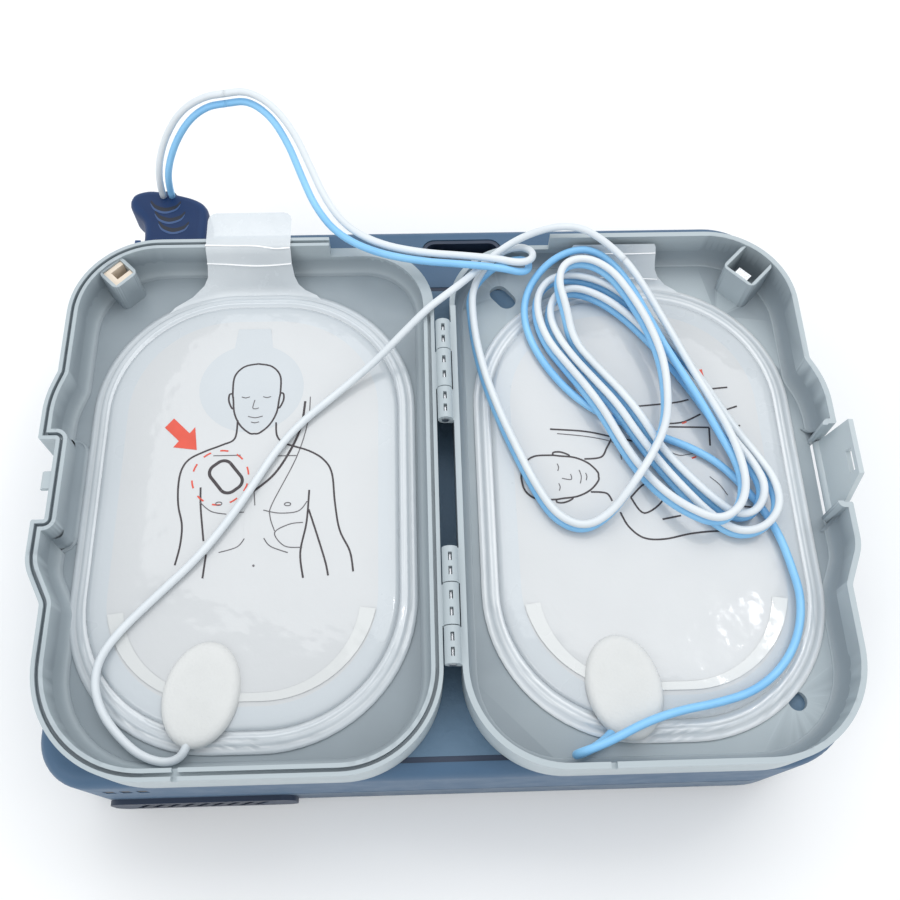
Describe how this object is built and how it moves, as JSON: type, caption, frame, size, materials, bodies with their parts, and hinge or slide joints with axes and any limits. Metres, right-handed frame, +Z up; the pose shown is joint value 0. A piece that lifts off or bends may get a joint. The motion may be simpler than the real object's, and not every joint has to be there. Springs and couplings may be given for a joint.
{
  "type": "defibrillator",
  "caption": "Automated external defibrillator lying flat with its electrode-pads case unfolded on top: hinged twin trays, gel pads, pull tabs, coiled lead pair and plug in the rear socket.",
  "frame": {"origin": "centre of the footprint, on the ground plane under the rubber feet", "axes": "+X to the right along the long side, +Y towards the back wall with the plug and battery, +Z up"},
  "size_m": [0.2336, 0.2077, 0.0849],
  "materials": {
    "housing_lower": "fine moulded texture, slate blue",
    "housing_upper": "fine moulded texture, blue-grey",
    "seal_rubber": "matt",
    "panel_inlay": "coarse leather-like grain, slate blue",
    "gasket_navy": "matt, navy",
    "button_green": "satin",
    "button_blue": "satin",
    "button_orange": "gloss",
    "circuit_board": "solder-resist green",
    "grille_plastic": "fine texture, dark navy",
    "speaker_black": "matt",
    "socket_navy": "fine texture, navy",
    "cup_dark": "matt",
    "inner_frame": "matt",
    "battery_shell": "fine moulded texture",
    "battery_key": "matt, navy",
    "lamp_green": "clear, tinted",
    "capacitor_sleeve": "brushed can",
    "module_black": "potting compound",
    "contact_metal": "gold flashed",
    "contact_strip": "bare strip",
    "window_dark": "dark tinted window",
    "screw_steel": "zinc plated",
    "foot_rubber": "matt",
    "case_plastic": "satin, cool grey",
    "pin_steel": "bright drawn",
    "latch_plastic": "satin, cool grey",
    "insert_beige": "satin",
    "liner_film": "embossed silver-grey film",
    "pad_film": "printed pale grey film over foam",
    "gel": "wet, pale",
    "foil": "foil",
    "disc_white": "foam, off-white",
    "tab_film": "translucent film",
    "plug_navy": "fine texture, navy",
    "grommet_rubber": "matt",
    "lead_white": "soft PVC, white",
    "lead_blue": "soft PVC, light blue"
  },
  "bodies": {
    "aed": {"bottom_cover": "housing_lower", "top_cover": "housing_upper", "rear_deck": "housing_upper", "housing_seal": "seal_rubber", "control_panel": "panel_inlay", "panel_gasket": "gasket_navy", "button_board": "circuit_board", "speaker_grille": "grille_plastic", "speaker": "speaker_black", "plug_socket": "socket_navy", "key_slot_cup": "cup_dark", "battery_bay": "inner_frame", "status_lamp": "lamp_green", "main_board": "circuit_board", "capacitor": "capacitor_sleeve", "high_voltage_module": "module_black", "socket_contacts": "contact_metal", "battery_contacts": "contact_metal", "sensor_windows": "window_dark", "housing_screws": "screw_steel", "rubber_feet": "foot_rubber"},
    "power_button": {"power_button": "button_green"},
    "info_button": {"info_button": "button_blue"},
    "shock_button": {"shock_button": "button_orange"},
    "battery": {"battery": "battery_shell"},
    "battery_latch": {"battery_latch": "battery_key"},
    "case": {"case_base": "case_plastic", "upper_hinge_pin": "pin_steel", "lower_hinge_pin": "pin_steel", "latch_pin": "pin_steel", "base_contact": "contact_strip", "right_liner": "liner_film", "right_pad": "pad_film", "right_gel": "gel", "right_foil": "foil", "right_disc": "disc_white", "right_pull_tab": "tab_film", "white_lead_fall": "lead_white", "blue_lead_fall": "lead_blue", "white_lead_cross": "lead_white", "blue_lead_tail": "lead_blue", "lead_coil": "lead_blue"},
    "lid": {"case_lid": "case_plastic", "lid_block": "insert_beige", "left_liner": "liner_film", "left_pad": "pad_film", "left_gel": "gel", "left_foil": "foil", "left_disc": "disc_white", "left_pull_tab": "tab_film", "white_lead_lid": "lead_white"},
    "latch": {"latch_flap": "latch_plastic"},
    "plug": {"plug_body": "plug_navy", "plug_grommet": "grommet_rubber", "plug_contacts": "contact_metal", "white_lead_rise": "lead_white", "blue_lead_rise": "lead_blue"}
  },
  "joints": [
    {"name": "case_lift", "type": "slide", "parent": "aed", "child": "case", "axis": [0, 0, 1], "range_m": [0, 0.06], "deforming": ["white_lead_fall", "blue_lead_fall"]},
    {"name": "lid_hinge", "type": "hinge", "parent": "case", "child": "lid", "pos_m": [0, 0, 0.06525], "axis": [0, 1, 0], "range_deg": [0, 180], "deforming": ["white_lead_fall", "blue_lead_fall", "white_lead_cross", "white_lead_lid"]},
    {"name": "latch_hinge", "type": "hinge", "parent": "case", "child": "latch", "pos_m": [0.1128, -0.00575, 0.0526], "axis": [0, 1, 0], "range_deg": [-12, 0]},
    {"name": "power_press", "type": "slide", "parent": "aed", "child": "power_button", "axis": [0, 0, -1], "range_m": [0, 0.0012], "stiffness_N_per_m": 300},
    {"name": "info_press", "type": "slide", "parent": "aed", "child": "info_button", "axis": [0, 0, -1], "range_m": [0, 0.0012], "stiffness_N_per_m": 300},
    {"name": "shock_press", "type": "slide", "parent": "aed", "child": "shock_button", "axis": [0, 0, -1], "range_m": [0, 0.0012], "stiffness_N_per_m": 300},
    {"name": "battery_slide", "type": "slide", "parent": "aed", "child": "battery", "axis": [0, 1, 0], "range_m": [0, 0.06]},
    {"name": "battery_release", "type": "slide", "parent": "battery", "child": "battery_latch", "axis": [0, -1, 0], "range_m": [0, 0.0012], "stiffness_N_per_m": 300},
    {"name": "plug_pull", "type": "slide", "parent": "aed", "child": "plug", "axis": [0, 1, 0], "range_m": [0, 0.025], "deforming": ["white_lead_rise", "blue_lead_rise"]}
  ]
}
